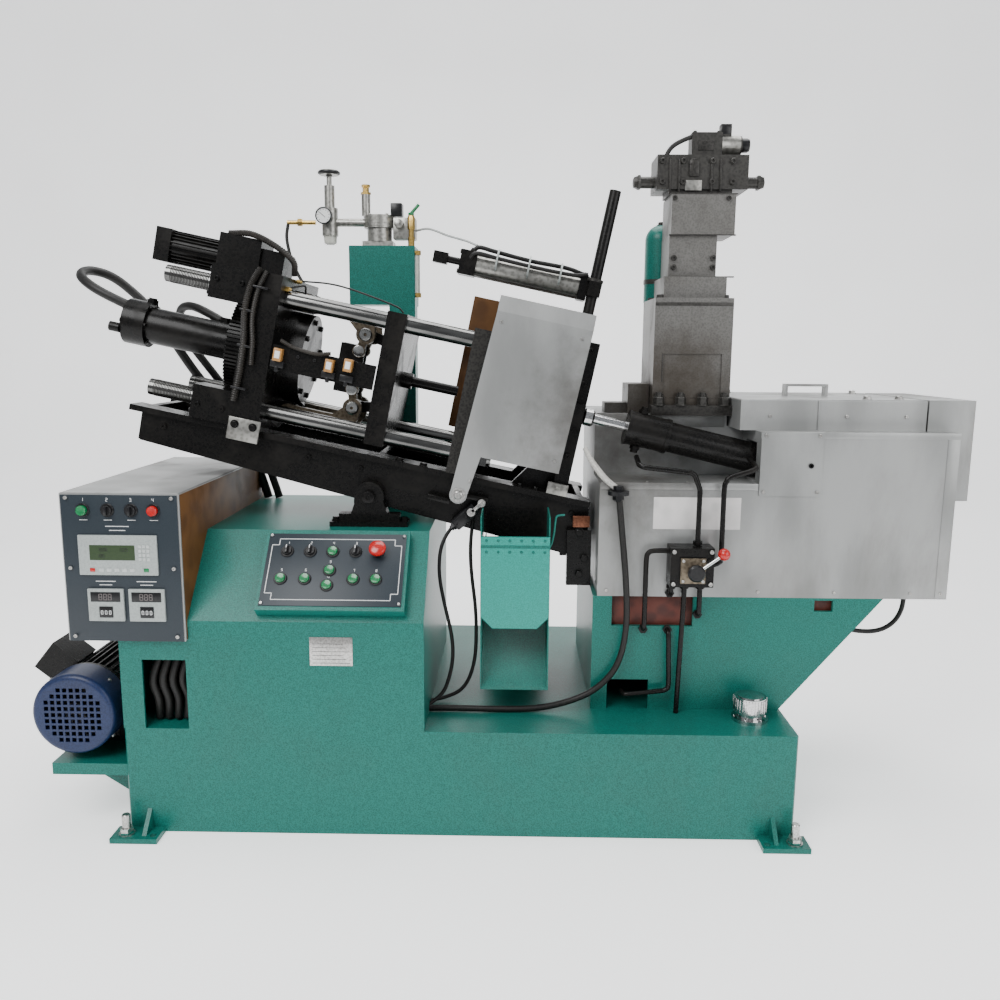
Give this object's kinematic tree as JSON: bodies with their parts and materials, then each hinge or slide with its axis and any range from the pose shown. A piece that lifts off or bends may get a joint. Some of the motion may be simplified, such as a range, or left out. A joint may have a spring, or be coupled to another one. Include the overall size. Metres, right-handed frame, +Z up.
{
  "type": "hot-chamber die casting machine",
  "caption": "Hot-chamber die casting machine: tilted toggle clamp unit on a tank bed, with furnace, injection column and control consoles.",
  "frame": {"origin": "on the floor, at the middle of the bed underside", "axes": "+X from the clamp end to the furnace end, +Y away from the operator, +Z up"},
  "size_m": [2.2419, 0.912, 1.663],
  "materials": {
    "aluminium_body": "satin",
    "black_paint": "semi gloss",
    "bright_steel": "ground",
    "brown_sheet": "weathered",
    "button_plastic": "gloss",
    "chrome_cap": "polished",
    "galvanised_sheet": "spangled satin",
    "grey_cast_iron": "machined",
    "hammertone_green": "hammertone gloss",
    "motor_blue": "gloss",
    "red_knob": "gloss",
    "slate_face": "satin",
    "tan_cast": "satin",
    "valve_iron": "satin"
  },
  "bodies": {
    "frame": {"accumulator": "hammertone_green", "adjust_brackets": "black_paint", "air_cylinder": "aluminium_body", "air_service_unit": "aluminium_body", "bar_nut_housings": "black_paint", "bed": "hammertone_green", "clamp_cylinder": "black_paint", "console_box": "hammertone_green", "console_buttons": "button_plastic", "control_box": "galvanised_sheet", "control_fittings": "slate_face", "filler_cap": "chrome_cap", "fixed_platen": "grey_cast_iron", "furnace_end_panel": "galvanised_sheet", "furnace_housing": "galvanised_sheet", "furnace_lid": "galvanised_sheet", "furnace_stand": "hammertone_green", "gear_motor": "black_paint", "gooseneck_bracket": "valve_iron", "hand_valve": "black_paint", "hydraulic_pipes": "black_paint", "hydraulic_pump": "grey_cast_iron", "injection_cylinder": "grey_cast_iron", "injection_frame": "grey_cast_iron", "lubricator_tank": "hammertone_green", "main_valve": "valve_iron", "motor_cowl": "motor_blue", "motor_shelf": "hammertone_green", "nose_frame": "black_paint", "operator_pedestal": "hammertone_green", "parts_chute": "hammertone_green", "pump_motor": "motor_blue", "rail_beam": "black_paint", "rear_guard": "brown_sheet", "ring_gear": "black_paint", "seat_cylinder": "black_paint", "switch_rail": "black_paint", "tail_platen": "black_paint", "tie_bars": "bright_steel", "trunnion_brackets": "black_paint"},
    "moving_platen": {"moving_platen": "black_paint"},
    "rear_link_upper": {"rear_link_upper": "tan_cast"},
    "rear_link_lower": {"rear_link_lower": "tan_cast"},
    "front_link_upper": {"front_link_upper": "black_paint"},
    "front_link_lower": {"front_link_lower": "black_paint"},
    "cross_links_upper": {"cross_links_upper": "tan_cast"},
    "cross_links_lower": {"cross_links_lower": "tan_cast"},
    "crosshead": {"crosshead": "black_paint"},
    "front_guard": {"front_guard": "galvanised_sheet"},
    "valve_lever": {"valve_lever": "red_knob"}
  },
  "joints": [
    {"name": "platen_slide", "type": "slide", "parent": "frame", "child": "moving_platen", "axis": [0.9792, 0, -0.2028], "range_m": [-0.055, 0]},
    {"name": "crosshead_slide", "type": "slide", "parent": "frame", "child": "crosshead", "axis": [0.9792, 0, -0.2028], "range_m": [-0.06366, 0]},
    {"name": "rear_link_upper_swing", "type": "hinge", "parent": "frame", "child": "rear_link_upper", "pos_m": [-0.40007, 0, 1.22666], "axis": [0, -1, 0], "range_deg": [-25.78, 0]},
    {"name": "rear_link_lower_swing", "type": "hinge", "parent": "frame", "child": "rear_link_lower", "pos_m": [-0.45604, 0, 0.9564], "axis": [0, -1, 0], "range_deg": [0, 25.78]},
    {"name": "front_link_upper_swing", "type": "hinge", "parent": "moving_platen", "child": "front_link_upper", "pos_m": [-0.18661, 0, 1.12323], "axis": [0, -1, 0], "range_deg": [0, 54.67]},
    {"name": "front_link_lower_swing", "type": "hinge", "parent": "moving_platen", "child": "front_link_lower", "pos_m": [-0.21905, 0, 0.96655], "axis": [0, -1, 0], "range_deg": [-54.67, 0]},
    {"name": "cross_links_upper_swing", "type": "hinge", "parent": "crosshead", "child": "cross_links_upper", "pos_m": [-0.27613, 0, 1.11011], "axis": [0, -1, 0], "range_deg": [-99.68, 0]},
    {"name": "cross_links_lower_swing", "type": "hinge", "parent": "crosshead", "child": "cross_links_lower", "pos_m": [-0.296, 0, 1.01414], "axis": [0, -1, 0], "range_deg": [0, 99.68]},
    {"name": "guard_swing", "type": "hinge", "parent": "frame", "child": "front_guard", "pos_m": [-0.01503, -0.218, 0.77316], "axis": [0, -1, 0], "range_deg": [0, 45]},
    {"name": "valve_lever_turn", "type": "hinge", "parent": "frame", "child": "valve_lever", "pos_m": [0.537, -0.32, 0.614], "axis": [0, -1, 0], "range_deg": [-35, 35]}
  ],
  "couplings": [
    {"joint": "crosshead_slide", "follows": "platen_slide", "ratio": 1.1538},
    {"joint": "rear_link_upper_swing", "follows": "platen_slide", "rad_per_m": 8.1753},
    {"joint": "rear_link_lower_swing", "follows": "platen_slide", "rad_per_m": -8.1753},
    {"joint": "front_link_upper_swing", "follows": "platen_slide", "rad_per_m": -17.341},
    {"joint": "front_link_lower_swing", "follows": "platen_slide", "rad_per_m": 17.341},
    {"joint": "cross_links_upper_swing", "follows": "platen_slide", "rad_per_m": 31.626},
    {"joint": "cross_links_lower_swing", "follows": "platen_slide", "rad_per_m": -31.626}
  ]
}
